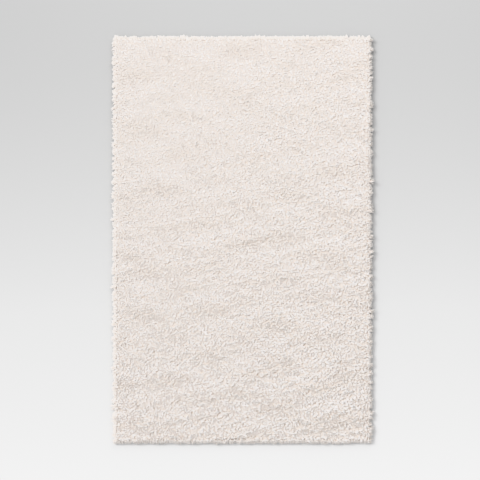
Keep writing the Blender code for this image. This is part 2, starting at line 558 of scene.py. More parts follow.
class Effects:
    """The node groups that several finishes share."""

    def __init__(self) -> None:
        """Builds each group once."""
        self.yarn_tone = self._yarn_tone()
        self.ply_twist = self._ply_twist()
        self.weave = self._weave()
        self.twill = self._twill()
        self.mottle = self._mottle()

    def _yarn_tone(self) -> bpy.types.NodeTree:
        """A tuft's colour, from its root to its cut end, with painted shade towards the root, and from one
        tuft to the next.

        Returns:
            The group.
        """

        def wire(bench: NodeBench, given: dict[str, Socket]) -> dict[str, Socket]:
            """Joins the group's nodes.

            Args:
                bench: The group's bench.
                given: Its inputs, by name.

            Returns:
                Its outputs, by name.
            """
            tone = bench.span(given["Tint"], 0.0, 1.0, 0.0, 1.0)
            open_yarn = bench.blend(tone, given["Deep"], given["Pale"])
            # Painted shade: towards its root a tuft takes on the darker, browner root colour.
            rise = bench.span(given["Along"], 0.05, 0.85, 0.0, 1.0)
            rooted = bench.blend(1.0, open_yarn, given["Root"], "MULTIPLY")
            return {"Color": bench.blend(rise, rooted, open_yarn)}

        inputs = [
            Port("Along", "Float", 1.0),
            Port("Tint", "Float", 0.5),
            Port("Root", "Color", (0.6, 0.5, 0.4)),
            Port("Deep", "Color", (0.7, 0.6, 0.5)),
            Port("Pale", "Color", (0.9, 0.85, 0.8)),
        ]
        return make_group("yarn_tone", inputs, [Port("Color", "Color")], wire)

    def _ply_twist(self) -> bpy.types.NodeTree:
        """The height of a yarn's twisted plies.

        Returns:
            The group.
        """

        def wire(bench: NodeBench, given: dict[str, Socket]) -> dict[str, Socket]:
            """Joins the group's nodes.

            Args:
                bench: The group's bench.
                given: Its inputs, by name.

            Returns:
                Its outputs, by name.
            """
            across = bench.math("MULTIPLY", given["Around"], given["Plies"])
            turn = bench.math("MULTIPLY_ADD", given["Along"], given["Turns"], across)
            wave = bench.math("SINE", bench.math("MULTIPLY", turn, 2 * math.pi))
            return {"Height": bench.math("MULTIPLY_ADD", wave, 0.5, 0.5)}

        inputs = [
            Port("Around", "Float", 0.0),
            Port("Along", "Float", 0.0),
            Port("Plies", "Float", 2.0),
            Port("Turns", "Float", 4.0),
        ]
        return make_group("ply_twist", inputs, [Port("Height", "Float")], wire)

    def _weave(self) -> bpy.types.NodeTree:
        """A plain weave: the height of its threads, and which of the two sets lies on top.

        Returns:
            The group.
        """

        def wire(bench: NodeBench, given: dict[str, Socket]) -> dict[str, Socket]:
            """Joins the group's nodes.

            Args:
                bench: The group's bench.
                given: Its inputs, by name.

            Returns:
                Its outputs, by name.
            """
            split = bench.add("SeparateXYZ")
            bench.feed(split.inputs[0], given["Vector"])
            waves = []
            for axis, pitch in ((0, "Warp Pitch"), (1, "Weft Pitch")):
                turns = bench.math("DIVIDE", split.outputs[axis], given[pitch])
                waves.append(bench.math("SINE", bench.math("MULTIPLY", turns, math.pi)))
            warp, weft = (bench.math("SQRT", bench.math("ABSOLUTE", wave)) for wave in waves)
            over = bench.span(bench.math("MULTIPLY", *waves), -0.15, 0.15, 0.0, 1.0)
            raised = bench.math("MULTIPLY", warp, bench.math("MULTIPLY_ADD", over, 0.6, 0.4))
            under = bench.math("SUBTRACT", 1.0, over)
            sunk = bench.math("MULTIPLY", weft, bench.math("MULTIPLY_ADD", under, 0.6, 0.4))
            return {"Height": bench.math("MAXIMUM", raised, sunk), "Warp": over}

        inputs = [
            Port("Vector", "Vector"),
            Port("Warp Pitch", "Float", 0.003),
            Port("Weft Pitch", "Float", 0.003),
        ]
        return make_group("weave", inputs, [Port("Height", "Float"), Port("Warp", "Float")], wire)

    def _twill(self) -> bpy.types.NodeTree:
        """A herringbone twill: diagonal ribs that turn back at each stripe.

        Returns:
            The group.
        """

        def wire(bench: NodeBench, given: dict[str, Socket]) -> dict[str, Socket]:
            """Joins the group's nodes.

            Args:
                bench: The group's bench.
                given: Its inputs, by name.

            Returns:
                Its outputs, by name.
            """
            folded = bench.math("PINGPONG", given["Across"], given["Stripe"])
            slope = bench.math("ADD", folded, given["Along"])
            turns = bench.math("DIVIDE", slope, given["Rib"])
            wave = bench.math("SINE", bench.math("MULTIPLY", turns, 2 * math.pi))
            return {"Height": bench.math("MULTIPLY_ADD", wave, 0.5, 0.5)}

        inputs = [
            Port("Across", "Float", 0.0),
            Port("Along", "Float", 0.0),
            Port("Stripe", "Float", 0.004),
            Port("Rib", "Float", 0.0012),
        ]
        return make_group("twill", inputs, [Port("Height", "Float")], wire)

    def _mottle(self) -> bpy.types.NodeTree:
        """Soft unevenness of colour, as in undyed cloth, with painted shade in the low places.

        Returns:
            The group.
        """

        def wire(bench: NodeBench, given: dict[str, Socket]) -> dict[str, Socket]:
            """Joins the group's nodes.

            Args:
                bench: The group's bench.
                given: Its inputs, by name.

            Returns:
                Its outputs, by name.
            """
            broad = bench.noise(given["Vector"], 9.0, 3.0)
            fine = bench.noise(given["Vector"], 240.0, 1.0)
            uneven = bench.math("MULTIPLY_ADD", fine, 0.4, bench.math("MULTIPLY", broad, 0.6))
            amount = bench.math("MULTIPLY", bench.span(uneven, 0.3, 0.7, 0.0, 1.0), given["Amount"])
            toned = bench.blend(amount, given["Color"], given["Stain"])
            # Painted shade: the low places of the relief turn towards the stain colour.
            low = bench.math("SUBTRACT", 1.0, given["Height"])
            return {"Color": bench.blend(bench.math("MULTIPLY", low, given["Dust"]), toned, given["Stain"])}

        inputs = [
            Port("Vector", "Vector"),
            Port("Color", "Color", (0.8, 0.8, 0.8)),
            Port("Stain", "Color", (0.5, 0.45, 0.4)),
            Port("Amount", "Float", 0.3),
            Port("Height", "Float", 1.0),
            Port("Dust", "Float", 0.4),
        ]
        return make_group("mottle", inputs, [Port("Color", "Color")], wire)


@dataclass(frozen=True)
class Finish:
    """What every finish holds.

    Attributes:
        name: The material's name.
        roughness: How matt it is.
        sheen: How much of a soft bright rim it has.
    """

    name: str
    roughness: float
    sheen: float

    def start(self) -> tuple[bpy.types.Material, NodeBench, bpy.types.Node]:
        """Starts the material.

        Returns:
            The material, a bench on its tree and its shader.
        """
        material = bpy.data.materials.new(self.name)
        material.use_nodes = True
        bench = NodeBench(material.node_tree)
        shader = material.node_tree.nodes["Principled BSDF"]
        shader.inputs["Roughness"].default_value = self.roughness
        shader.inputs["Metallic"].default_value = 0.0
        shader.inputs["Specular IOR Level"].default_value = 0.2
        shader.inputs["Sheen Weight"].default_value = self.sheen
        shader.inputs["Sheen Roughness"].default_value = 0.6
        return material, bench, shader

    def place_group(self, bench: NodeBench, group: bpy.types.NodeTree, **given: object) -> bpy.types.Node:
        """Places a group and feeds its inputs.

        Args:
            bench: The material's bench.
            group: The group.
            **given: Its inputs, with _ for a space in a name.

        Returns:
            The group's node.
        """
        node = bench.add("Group", node_tree=group)
        for name, value in given.items():
            bench.feed(node.inputs[name.replace("_", " ")], value)
        return node

    def emboss(
        self, bench: NodeBench, shader: bpy.types.Node, height: Socket, depth: float, strength: float
    ) -> None:
        """Gives the surface a fine relief.

        Args:
            bench: The material's bench.
            shader: Its shader.
            height: The relief, from 0 to 1.
            depth: How deep it is.
            strength: How much of it shows.
        """
        bump = bench.add("Bump")
        bump.inputs["Strength"].default_value = strength
        bump.inputs["Distance"].default_value = depth
        bench.feed(bump.inputs["Height"], height)
        bench.feed(shader.inputs["Normal"], bump.outputs["Normal"])


@dataclass(frozen=True)
class YarnFinish(Finish):
    """Soft cut yarn, warm off-white, with painted shade that makes it darker and browner towards its root.

    Attributes:
        pale: The colour of the lightest tufts.
        deep: The colour of the darkest tufts.
        root: What a tuft's colour is multiplied by at its root, as painted shade deep in the pile.
    """

    pale: Colour = (0.955, 0.936, 0.933)
    deep: Colour = (0.81, 0.77, 0.74)
    root: Colour = (0.78, 0.68, 0.59)

    def material(self, effects: Effects) -> bpy.types.Material:
        """Builds the material.

        Args:
            effects: The shared node groups.

        Returns:
            The material.
        """
        material, bench, shader = self.start()
        along, tint = bench.attribute("along"), bench.attribute("tint")
        colours = {"Root": self.root, "Deep": self.deep, "Pale": self.pale}
        tone = self.place_group(bench, effects.yarn_tone, Along=along, Tint=tint, **colours)
        bench.feed(shader.inputs["Base Color"], tone.outputs["Color"])
        return material


@dataclass(frozen=True)
class WovenFinish(Finish):
    """Plain-woven cloth.

    Attributes:
        colour: The threads' colour.
        stain: What it turns towards in uneven places, and in low places as painted shade.
        pitch: How far apart its warp threads and its weft threads lie.
        relief: How deep the weave is.
    """

    colour: Colour = (0.6, 0.55, 0.5)
    stain: Colour = (0.4, 0.35, 0.3)
    pitch: tuple[float, float] = (3 * MM, 3 * MM)
    relief: float = 0.4 * MM

    def material(self, effects: Effects) -> bpy.types.Material:
        """Builds the material.

        Args:
            effects: The shared node groups.

        Returns:
            The material.
        """
        material, bench, shader = self.start()
        place = bench.place()
        weave = self.place_group(
            bench, effects.weave, Vector=place, Warp_Pitch=self.pitch[0], Weft_Pitch=self.pitch[1]
        )
        # Painted shade: the weave's low places take the stain colour.
        mottle = self.place_group(
            bench,
            effects.mottle,
            Vector=place,
            Color=self.colour,
            Stain=self.stain,
            Height=weave.outputs["Height"],
        )
        bench.feed(shader.inputs["Base Color"], mottle.outputs["Color"])
        self.emboss(bench, shader, weave.outputs["Height"], self.relief, 0.8)
        return material


@dataclass(frozen=True)
class TapeFinish(Finish):
    """Herringbone twill tape.

    Attributes:
        colour: The tape's colour.
        stain: What it turns towards in uneven places, and between its ribs as painted shade.
    """

    colour: Colour = (0.74, 0.68, 0.60)
    stain: Colour = (0.50, 0.43, 0.35)

    def material(self, effects: Effects) -> bpy.types.Material:
        """Builds the material.

        Args:
            effects: The shared node groups.

        Returns:
            The material.
        """
        material, bench, shader = self.start()
        twill = self.place_group(
            bench, effects.twill, Across=bench.attribute("across"), Along=bench.attribute("along")
        )
        # Painted shade: the twill's low places between the ribs take the stain colour.
        mottle = self.place_group(
            bench,
            effects.mottle,
            Vector=bench.place(),
            Color=self.colour,
            Stain=self.stain,
            Height=twill.outputs["Height"],
        )
        bench.feed(shader.inputs["Base Color"], mottle.outputs["Color"])
        self.emboss(bench, shader, twill.outputs["Height"], 0.2 * MM, 0.7)
        return material


@dataclass(frozen=True)
class ThreadFinish(Finish):
    """Twisted sewing thread.

    Attributes:
        colour: The thread's colour.
        groove: Its colour between the plies, painted shade in the grooves.
    """

    colour: Colour = (0.82, 0.78, 0.70)
    groove: Colour = (0.55, 0.49, 0.40)

    def material(self, effects: Effects) -> bpy.types.Material:
        """Builds the material.

        Args:
            effects: The shared node groups.

        Returns:
            The material.
        """
        material, bench, shader = self.start()
        twist = self.place_group(
            bench,
            effects.ply_twist,
            Around=bench.attribute("across"),
            Along=bench.attribute("along"),
            Plies=1.0,
            Turns=3.0,
        )
        # Painted shade: the grooves between the plies take the darker groove colour.
        bench.feed(
            shader.inputs["Base Color"], bench.blend(twist.outputs["Height"], self.groove, self.colour)
        )
        return material


@dataclass(frozen=True)
class LatexFinish(Finish):
    """A dried, dull coat of latex.

    Attributes:
        colour: Where it is thin.
        thick: Where it has pooled; it is also the painted shade in the low places.
    """

    colour: Colour = (0.72, 0.68, 0.58)
    thick: Colour = (0.58, 0.52, 0.41)

    def material(self, effects: Effects) -> bpy.types.Material:
        """Builds the material.

        Args:
            effects: The shared node groups.

        Returns:
            The material.
        """
        material, bench, shader = self.start()
        place = bench.place()
        pooled = bench.noise(place, 60.0, 4.0)
        # Painted shade: the low places of the pooled relief take the thick colour.
        mottle = self.place_group(
            bench, effects.mottle, Vector=place, Color=self.colour, Stain=self.thick, Height=pooled
        )
        bench.feed(shader.inputs["Base Color"], mottle.outputs["Color"])
        self.emboss(bench, shader, pooled, 0.5 * MM, 0.6)
        return material


# ---------------------------------------------------------------------------
# The pile
# ---------------------------------------------------------------------------


@dataclass(frozen=True)
class Ripples:
    """Long-crested waves across the rug, as a sum of waves of random direction and phase.

    Attributes:
        crest_gap: The least and greatest gap between crests, along the rug.
        crest_length: The least and greatest length of a crest, across the rug.
        count: How many waves are summed.
        seed: Which waves they are.
    """

    crest_gap: tuple[float, float]
    crest_length: tuple[float, float]
    count: int
    seed: int

    def at(self, points: np.ndarray) -> tuple[np.ndarray, np.ndarray]:
        """The waves' height and slope.

        Args:
            points: Places in the plane, one to a row.

        Returns:
            The height at each point, with a spread of about 1 and a mean of 0, and its slope in
            X and Y, which is scaled to have about the same spread.
        """
        rng = np.random.default_rng(self.seed)
        gap = np.exp(rng.uniform(*np.log(self.crest_gap), self.count))
        length = np.exp(rng.uniform(*np.log(self.crest_length), self.count))
        sign = rng.choice([-1.0, 1.0], self.count)
        ways = 2 * math.pi * np.stack([sign / length, 1 / gap], axis=1)
        phase = points @ ways.T + rng.uniform(0, 2 * math.pi, self.count)
        size = math.sqrt(2 / self.count)
        height = size * np.cos(phase).sum(axis=1)
        slope = -size * np.sin(phase) @ ways
        return height, slope / np.linalg.norm(ways, axis=1).mean()


@dataclass(frozen=True)
class Locks:
    """The locks that neighbouring tufts gather into.

    Attributes:
        size: How far apart the locks' middles lie, across and along the rug.
        stray: How far a middle strays from an even grid, as a share of size.
        seed: Which way each one strays.
    """

    size: tuple[float, float]
    stray: float
    seed: int

    def of(self, points: np.ndarray, half: np.ndarray) -> tuple[np.ndarray, np.ndarray]:
        """The lock that each point belongs to.

        Args:
            points: Places in the plane, one to a row.
            half: Half the width and length of the area that they lie in.

        Returns:
            The lock's middle and its number, one a point.
        """
        size, margin = np.array(self.size), 3
        cells = np.ceil(2 * half / size).astype(int) + 2 * margin
        rng = np.random.default_rng(self.seed)
        strays = rng.uniform(-self.stray, self.stray, (*cells, 2))
        cell = np.floor((points + half) / size).astype(int) + margin
        best = np.full(len(points), np.inf)
        middle, number = np.zeros_like(points), np.zeros(len(points), int)
        for step in np.ndindex(3, 3):
            near = cell + step - 1
            brick = np.stack([0.5 * (near[:, 1] % 2), np.zeros(len(near))], axis=1)
            place = (near - margin + 0.5 + brick + strays[near[:, 0], near[:, 1]]) * size - half
            far = (((place - points) / size) ** 2).sum(axis=1)
            closer = far < best
            best = np.where(closer, far, best)
            middle[closer] = place[closer]
            number[closer] = near[closer, 0] * cells[1] + near[closer, 1]
        return middle, number


@dataclass
class Tufts:
    """A set of tufts, before they are made.

    Attributes:
        roots: Where each one starts.
        way: The direction that it leans in, seen from above.
        length: How long its yarn is.
        start: How far it leans at its root, from 0 for upright, in radians.
        end: How far it leans at its cut end.
        tint: Its colour, from 0 for deep to 1 for pale.
        width: Its thickness, as a share of the usual.
    """

    roots: np.ndarray
    way: np.ndarray
    length: np.ndarray
    start: np.ndarray
    end: np.ndarray
    tint: np.ndarray
    width: np.ndarray

    def parts(self, most: int) -> Iterator["Tufts"]:
        """Splits the set along the rug into near-equal parts.

        Args:
            most: The most tufts in a part.

        Yields:
            Each part, from the foot to the head.
        """
        order = np.argsort(self.roots[:, 1], kind="stable")
        for chosen in np.array_split(order, math.ceil(len(order) / most)):
            yield Tufts(*(getattr(self, name)[chosen] for name in self.__dataclass_fields__))


@dataclass(frozen=True)
class TuftShape:
    """How a tuft is meshed.

    Attributes:
        stations: How far along the tuft each ring of its mesh lies.
        fullness: The tuft's thickness at each of those, as a share of the fullest.
        radius: Half its thickness where it is fullest.
        kink: How far a ring strays from a smooth bend.
        softness: How far a tuft shades like the pile's surface and not like a thread.
    """

    stations: tuple[float, ...]
    fullness: tuple[float, ...]
    radius: float
    kink: float
    softness: float

    def template(self) -> Template:
        """One upright tuft: a three-sided spindle whose vertices' heights are station numbers.

        Returns:
            The template.
        """
        bm = bmesh.new()
        last = len(self.stations) - 1
        bmesh.ops.create_uvsphere(bm, u_segments=3, v_segments=last, radius=1.0)
        for vert in bm.verts:
            vert.co.z = round(math.acos(-max(-1.0, min(1.0, vert.co.z))) / math.pi * last)
        return Template.from_bmesh(bm)

    def spines(self, tufts: Tufts, rng: np.random.Generator) -> tuple[np.ndarray, np.ndarray]:
        """The middle line of each tuft: an arc that leans further the further it is from the root.

        Args:
            tufts: The tufts.
            rng: Where their kinks come from.

        Returns:
            The points at the stations, and the directions there: tufts, by stations, by three.
        """
        share = np.array(self.stations)[None]
        start, bend = tufts.start[:, None], (tufts.end - tufts.start)[:, None]
        bend = np.where(np.abs(bend) < 1e-3, 1e-3, bend)
        angle = start + bend * share
        scale = tufts.length[:, None] / bend
        out = scale * (np.cos(start) - np.cos(angle))
        up = scale * (np.sin(angle) - np.sin(start))
        way = tufts.way[:, None, :]
        points = tufts.roots[:, None, :] + np.concatenate([way * out[..., None], up[..., None]], axis=2)
        points += rng.normal(0, self.kink, points.shape) * share[..., None] * (1, 1, 0.5)
        facing = np.concatenate([way * np.sin(angle)[..., None], np.cos(angle)[..., None]], axis=2)
        return points, facing

    def points(self, template: Template, tufts: Tufts, rng: np.random.Generator) -> np.ndarray:
        """Bends a copy of the template along each tuft.

        Args:
            template: The upright tuft.
            tufts: The tufts.
            rng: Where their kinks and turns come from.

        Returns:
            The copies' vertices: tufts, by vertices of the template, by three.
        """
        points, facing = self.spines(tufts, rng)
        station = np.round(template.points[:, 2]).astype(int)
        side = np.stack([-tufts.way[:, 1], tufts.way[:, 0], np.zeros(len(tufts.way))], axis=1)
        side = np.repeat(side[:, None], len(self.stations), axis=1)
        over = np.cross(facing, side)
        angle = np.arctan2(template.points[:, 1], template.points[:, 0])
        turn = angle[None] + rng.uniform(0, 2 * math.pi, len(tufts.way))[:, None]
        radius = self.radius * tufts.width[:, None] * np.array(self.fullness)[station][None]
        ring = np.cos(turn)[..., None] * side[:, station] + np.sin(turn)[..., None] * over[:, station]
        return points[:, station] + ring * radius[..., None]


@dataclass(frozen=True)
class Overhang:
    """How the tufts at one level of the edge lean over the binding.

    Attributes:
        root_inset: How far inside the bound edge they leave the bed.
        root_height: How high above the floor they do.
        inside: How far inside the pile's outline their cut ends lie.
        height: How high above the floor those are.
        start: How far a tuft leans at its root, in radians.
    """

    root_inset: float
    root_height: float
    inside: float
    height: float
    start: float


def arc(reach: np.ndarray, rise: np.ndarray, start: float) -> tuple[np.ndarray, np.ndarray]:
    """Bends yarn in an arc from its root to its cut end.

    Args:
        reach: How far the end lies from the root, seen from above.
        rise: How far it is above the root.
        start: How far the yarn leans at its root, in radians.

    Returns:
        How far it leans at its end, and its length.
    """
    end = 2 * np.arctan2(reach, rise) - start
    half = np.maximum(np.abs(end - start) / 2, 1e-3)
    return end, np.hypot(reach, rise) * half / np.sin(half)


@dataclass(frozen=True)
class Ruffling:
    """How strongly the pile is ruffled, from place to place.

    Attributes:
        middle: In the middle of the rug.
        to_right: What is added from there to the right edge.
        to_head: What is added from there to the head.
        limits: The least and the most.
        patches: The ripples that set off its rougher patches.
        patch_edge: How sharply a patch ends.
    """

    middle: float = 0.78
    to_right: float = 0.28
    to_head: float = -0.38
    limits: tuple[float, float] = (0.40, 1.60)
    patches: Ripples = Ripples((60 * MM, 200 * MM), (150 * MM, 500 * MM), 24, 17)
    patch_edge: float = 2.0


@dataclass(frozen=True)
class Clefts:
    """The dark clefts where the yarn parts.

    Attributes:
        ripples: Their troughs are the clefts.
        open_below: The height of the ripples under which a cleft starts to open.
        drawn_below: The height under which the yarn starts to lean away from one.
        fall: How far below either the effect is at its full.
        depth: How deep an open cleft is in the bed.
    """

    ripples: Ripples = Ripples((13 * MM, 45 * MM), (15 * MM, 80 * MM), 96, 16)
    open_below: float = -0.7
    drawn_below: float = 0.3
    fall: float = 1.2
    depth: float = 5 * MM


@dataclass(frozen=True)
class Lean:
    """How far the cut end of a loose end is drawn from over its root, and by what.

    Attributes:
        lays: The ripples that neighbours lean with, across and along the rug.
        sweep: How far those draw it, across and along the rug.
        stray: How far it strays by itself, across and along the rug.
        wave: How far a wave's slope draws it.
        cleft: How far a cleft drives it away.
        lock: How far its lock's own lean draws it.
        gather: The share of the way to its lock's middle that it is drawn: where the pile is
            smooth, what ruffling adds, and the most.
        splay: The share of the way that a fallen lock's ends are driven from its middle.
        rim: How far the bed's rim draws it outwards.
        rim_reach: How far in from the rim that is felt.
        start: How far it leans at its root, in radians.
        steepest: The furthest that it is drawn, as a share of its rise.
    """

    lays: tuple[Ripples, Ripples] = (
        Ripples((30 * MM, 90 * MM), (60 * MM, 260 * MM), 64, 13),
        Ripples((30 * MM, 90 * MM), (60 * MM, 260 * MM), 64, 15),
    )
    sweep: tuple[float, float] = (4 * MM, 3 * MM)
    stray: tuple[float, float] = (3.2 * MM, 3.2 * MM)
    wave: float = 1.0 * MM
    cleft: float = 2.5 * MM
    lock: float = 5.0 * MM
    gather: tuple[float, float, float] = (0.45, 0.5, 1.1)
    splay: float = 1.5
    rim: float = 6 * MM
    rim_reach: float = 30 * MM
    start: float = 0.3
    steepest: float = 1.6


@dataclass(frozen=True)
class Rise:
    """How far a loose end's cut end stands above its root.

    Attributes:
        usual: The rise of most ends.
        stray: The spread from end to end.
        lock: The spread from lock to lock.
        smooth: What is taken off where the pile is smooth, and is added where it is ruffled.
        fallen: What is taken off in a fallen lock.
    """

    usual: float = 13.5 * MM
    stray: float = 0.8 * MM
    lock: float = 0.7 * MM
    smooth: float = 2.5 * MM
    fallen: float = 3.5 * MM


@dataclass(frozen=True)
class Tint:
    """How pale a loose end is, from 0 to 1, and what changes that: random tone, painted light and painted
    shade.

    Attributes:
        usual: Where nothing changes it.
        rim: The painted light that the bed's rim adds.
        wave: The painted light that a wave's crest adds, and the painted shade in its trough.
        swell: The painted light that a broad swell's crest adds, and the painted shade in its trough.
        lock: The spread from lock to lock.
        stray: The spread from end to end.
        hollow: The painted shade that an open cleft or a fallen lock takes off.
    """

    usual: float = 0.62
    rim: float = 0.12
    wave: float = 0.02
    swell: float = 0.13
    lock: float = 0.06
    stray: float = 0.12
    hollow: float = 0.2


@dataclass(frozen=True)
class Bed:
    """The sizes of the bed of crowded yarn that the loose ends stand on.

    Attributes:
        rise: How high it is above the cloth.
        inset: How far inside the bound edge its rim lies, just over the binding.
        shoulder: How far in from there it reaches its full height.
        foot_inset: How far inside the bound edge it stands on the cloth.
        facet: The size of its facets.
        swell: How far the waves lift it.
        stray: The spread in height from point to point.
        rim_gap: How far its rim lies above the tape.
        clear: How far its underside and its foot lie above the tape and the cloth.
    """

    rise: float = 17.5 * MM
    inset: float = 4.5 * MM
    shoulder: float = 8 * MM
    foot_inset: float = 10.5 * MM
    facet: float = 8 * MM
    swell: float = 0.6 * MM
    stray: float = 0.6 * MM
    rim_gap: float = 0.5 * MM
    clear: tuple[float, float] = (0.3 * MM, 0.2 * MM)


@dataclass(frozen=True)
class Fringe:
    """The tufts that fan out over the binding, from the bed's shoulder down to the floor.

    Attributes:
        gap: How far apart they leave the edge.
        fan: How they lean, from the highest to the lowest.
        level_stray: The spread in a tuft's level, as a share of the whole fan.
        side_draw: How much less far they reach at the sides than at the head and the foot.
        out: How much further all of them reach than the fan says.
        wobble: How far the waves and the clefts push the edge in and out.
        wobble_share: The share of that at the head and the foot, and what the sides add.
        end_stray: The spread in their reach and in their height.
        least_reach: The least that one reaches from its root.
        turn: The spread in their direction, in radians.
        tint: Their tint at the levels 0, 0.55 and 0.85 of the fan, and its spread; the low tint of the upper
            tufts is painted shade.
    """

    gap: float = 0.55 * MM
    fan: tuple[Overhang, ...] = (
        Overhang(14.0 * MM, 19 * MM, 20.0 * MM, 32.5 * MM, 0.30),
        Overhang(10.5 * MM, 18 * MM, 12.5 * MM, 31.0 * MM, 0.35),
        Overhang(8.0 * MM, 16 * MM, 5.0 * MM, 26.0 * MM, 0.45),
        Overhang(6.5 * MM, 13 * MM, 0.0 * MM, 18.0 * MM, 0.55),
        Overhang(5.5 * MM, 10 * MM, -1.0 * MM, 10.5 * MM, 0.75),
        Overhang(5.0 * MM, 8 * MM, 0.5 * MM, 5.5 * MM, 0.90),
        Overhang(5.0 * MM, 7 * MM, 3.0 * MM, 2.5 * MM, 1.10),
    )
    level_stray: float = 0.05
    side_draw: float = 4 * MM
    out: float = 1 * MM
    wobble: tuple[float, float] = (2.5 * MM, 5.0 * MM)
    wobble_share: tuple[float, float] = (0.6, 0.65)
    end_stray: tuple[float, float] = (2.5 * MM, 1.8 * MM)
    least_reach: float = 4 * MM
    turn: float = 0.3
    tint: tuple[float, float, float, float] = (0.0, -0.1, 0.6, 0.12)

    def at(self, level: np.ndarray) -> list[np.ndarray]:
        """How tufts lean at levels of the fan.

        Args:
            level: The levels, from 0 for the highest to 1 for the lowest.

        Returns:
            Each number of an overhang, in its own order, at every level.
        """
        stops = np.linspace(0, 1, len(self.fan))
        names = Overhang.__dataclass_fields__
        return [np.interp(level, stops, [getattr(stop, name) for stop in self.fan]) for name in names]


@dataclass
class Pile:
    """The pile: a bed of crowded yarn, the loose ends on it, and the fringe over the binding.

    Attributes:
        rug: Where the layers lie.
        seed: Which random numbers it draws.
        gauge: The gap between the roots of loose ends.
        root_stray: How far a root strays, as a share of the gauge.
        root_depth: How far under the bed's surface a loose end starts.
        rim_margin: How far inside the bed's rim the outermost ones start.
        most_in_piece: The most triangles in one piece.
        end_shape: How a loose end is meshed.
        hanging_shape: How a tuft of the fringe is meshed.
        bed: The bed's sizes.
        ruffling: How strongly the pile is ruffled.
        clefts: Its clefts.
        waves: Its waves, which cross the rug.
        swells: Broad bands of painted light and shade, paler and deeper yarn in turn.
        locks: The locks that its ends gather into.
        fallen: The odds that a lock has fallen: the least, and what ruffling adds.
        lean: How its ends lean.
        rise: How far they rise.
        tint: Their colour, with its painted light and shade.
        fringe: Its fringe.
        surface_tilt: How far the waves tilt the pile's surface.
        surface_fall: How far in from the outline the surface turns outwards.
        surface_turn: How far it has turned at the floor, in degrees.
    """

    rug: RugFrame
    seed: int = 7
    gauge: float = 4.7 * MM
    root_stray: float = 0.28
    root_depth: float = 2 * MM
    rim_margin: float = 1.5 * MM
    most_in_piece: int = 190_000
    end_shape: TuftShape = TuftShape((0.0, 0.42, 1.0), (0.0, 1.0, 0.0), 2.8 * MM, 0.8 * MM, 0.6)
    hanging_shape: TuftShape = TuftShape(
        (0.0, 0.4, 0.75, 1.0), (0.0, 1.0, 0.85, 0.0), 2.7 * MM, 1.0 * MM, 0.4
    )
    bed: Bed = Bed()
    ruffling: Ruffling = Ruffling()
    clefts: Clefts = Clefts()
    waves: Ripples = Ripples((40 * MM, 110 * MM), (90 * MM, 520 * MM), 48, 12)
    swells: Ripples = Ripples((110 * MM, 420 * MM), (350 * MM, 1800 * MM), 24, 18)
    locks: Locks = Locks((13.5 * MM, 11.5 * MM), 0.4, 14)
    fallen: tuple[float, float] = (0.02, 0.14)
    lean: Lean = Lean()
    rise: Rise = Rise()
    tint: Tint = Tint()
    fringe: Fringe = Fringe()
    surface_tilt: float = 0.04
    surface_fall: float = 14 * MM
    surface_turn: float = 95.0

    def force(self, points: np.ndarray) -> np.ndarray:
        """How strongly the pile is ruffled: gently at the head's left, most at the foot's right.

        Args:
            points: Places in the plane, one to a row.

        Returns:
            One number a point, about 1 where it is well ruffled.
        """
        across, along = (points / self.rug.bound.half).T
        ruffling = self.ruffling
        force = ruffling.middle + ruffling.to_right * across + ruffling.to_head * along
        return np.clip(force, *ruffling.limits)

    def patch(self, points: np.ndarray) -> np.ndarray:
        """How far each point lies in a rougher patch, from 0 to 1."""
        return 1 / (1 + np.exp(-self.ruffling.patch_edge * self.ruffling.patches.at(points)[0]))

    def parting(self, points: np.ndarray) -> tuple[np.ndarray, np.ndarray]:
        """Where the yarn parts into clefts.

        Args:
            points: Places in the plane, one to a row.

        Returns:
            How wide open it is at each point, from 0 to 1, and the way that the yarn is drawn
            apart there, across and along the rug.
        """
        height, slope = self.clefts.ripples.at(points)
        depth = np.clip((self.clefts.open_below - height) / self.clefts.fall, 0, 1)
        near = np.clip((self.clefts.drawn_below - height) / self.clefts.fall, 0, 1)
        strength = self.force(points) * self.patch(points)
        return np.clip(strength * depth, 0, 1), slope * (strength * near)[:, None]

    def bed_top(self, points: np.ndarray) -> np.ndarray:
        """The height of the bed, which is rounded at its rim.

        Args:
            points: Places in the plane, one to a row.

        Returns:
            One height a point.
        """
        force = self.force(points)
        full = self.rug.cloth_top + self.bed.rise + self.bed.swell * force * self.waves.at(points)[0]
        full += self.rise.smooth * (1 - force)
        full -= self.clefts.depth * self.parting(points)[0]
        low = self.rug.tape_top + self.bed.rim_gap
        rim = self.rug.bound.inset(self.bed.inset)
        share = np.clip(rim.depth(points) / self.bed.shoulder, 0, 1)
        return low + (full - low) * np.sqrt(1 - (1 - share) ** 2)

    def make_bed(self, rng: np.random.Generator, material: bpy.types.Material) -> None:
        """Makes the bed.

        Args:
            rng: Where its unevenness comes from.
            material: The yarn's finish.
        """
        rim = self.rug.bound.inset(self.bed.inset)
        across, along = (round(2 * size / self.bed.facet) for size in rim.half)
        bm = bmesh.new()
        bmesh.ops.create_grid(bm, x_segments=across, y_segments=along, size=1.0)
        bmesh.ops.scale(bm, verts=bm.verts, vec=(*rim.half, 1.0))
        plane = np.array([vert.co.xy for vert in bm.verts])
        plane += rim.outward(plane) * np.minimum(rim.depth(plane), 0)[:, None]
        heights = self.bed_top(plane)
        heights += rng.normal(0, self.bed.stray, len(plane)) * (rim.depth(plane) > 0)
        for vert, spot, height in zip(bm.verts, plane, heights):
            vert.co = (*spot, height)
        self.close_bed(bm, rim)
        made = object_from(bm, "pile_bed", 80.0)
        count = len(made.data.vertices)
        give_numbers(made, "tint", np.full(count, 0.5))
        # Painted shade: the bed takes on more of the root colour where a cleft opens.
        give_numbers(made, "along", 0.55 - 0.5 * self.parting(plane_of(made))[0])
        join_rug(made, "pile_yarn", material, "pile")

